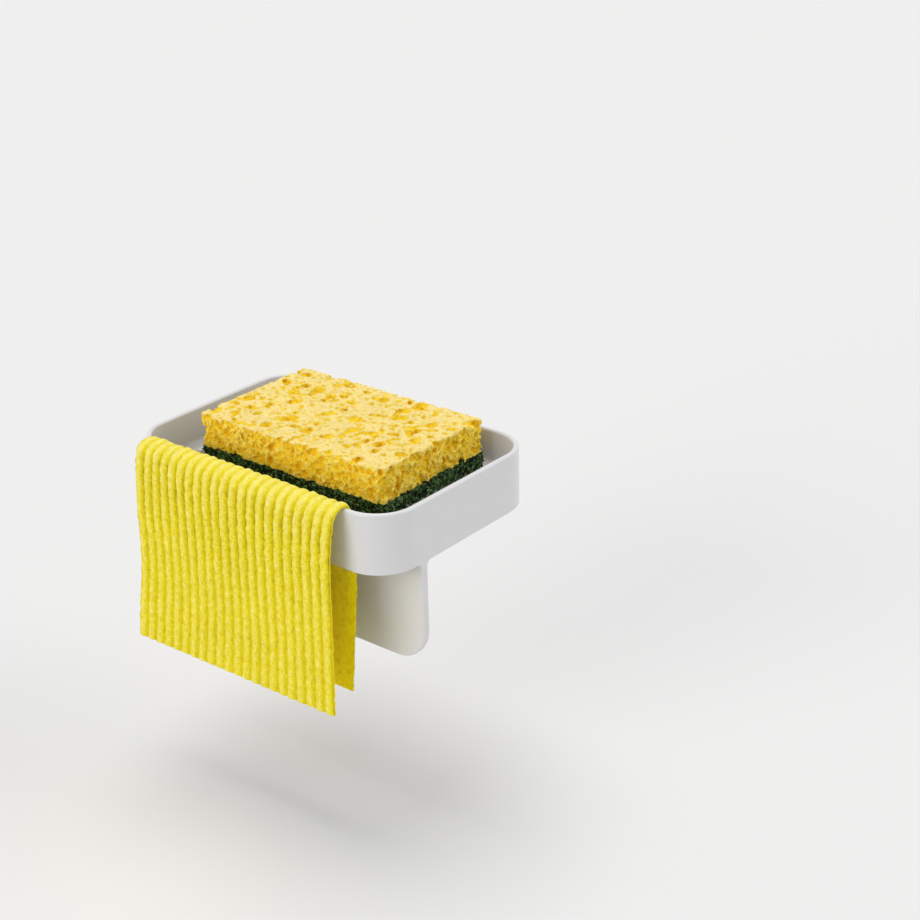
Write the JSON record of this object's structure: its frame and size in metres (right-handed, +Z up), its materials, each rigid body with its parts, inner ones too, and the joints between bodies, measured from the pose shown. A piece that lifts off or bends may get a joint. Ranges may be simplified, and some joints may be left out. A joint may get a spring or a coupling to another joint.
{
  "type": "sponge holder",
  "caption": "Moulded tray that stands on a worktop and hooks over its edge, with a draining floor for a sponge and a wall and slot for hanging a cloth.",
  "frame": {"origin": "on the worktop's top front corner, in the middle of the hook's back face", "axes": "+X along the worktop's edge, +Y away from the sink, out of the hook's back face, +Z up"},
  "size_m": [0.155, 0.1181, 0.1043],
  "materials": {
    "tray": "satin white moulding",
    "foot": "soft translucent grey, matt",
    "scourer": "coarse dark green fibre web",
    "sponge": "open-celled cellulose, matt",
    "cloth": "ribbed cellulose cloth, matt and fuzzy"
  },
  "bodies": {
    "holder": {"tray_shell": "tray", "foot_front_left": "foot", "foot_front_right": "foot", "foot_rear_left": "foot", "foot_rear_right": "foot"},
    "sponge": {"sponge_block": "sponge", "scouring_pad": "scourer"},
    "cloth": {"dish_cloth": "cloth"}
  },
  "joints": [
    {"name": "sponge_lift", "type": "slide", "parent": "holder", "child": "sponge", "axis": [0, 0, 1], "range_m": [0, 0.06]},
    {"name": "cloth_lift", "type": "slide", "parent": "holder", "child": "cloth", "axis": [0, 0, 1], "range_m": [0, 0.1]}
  ]
}
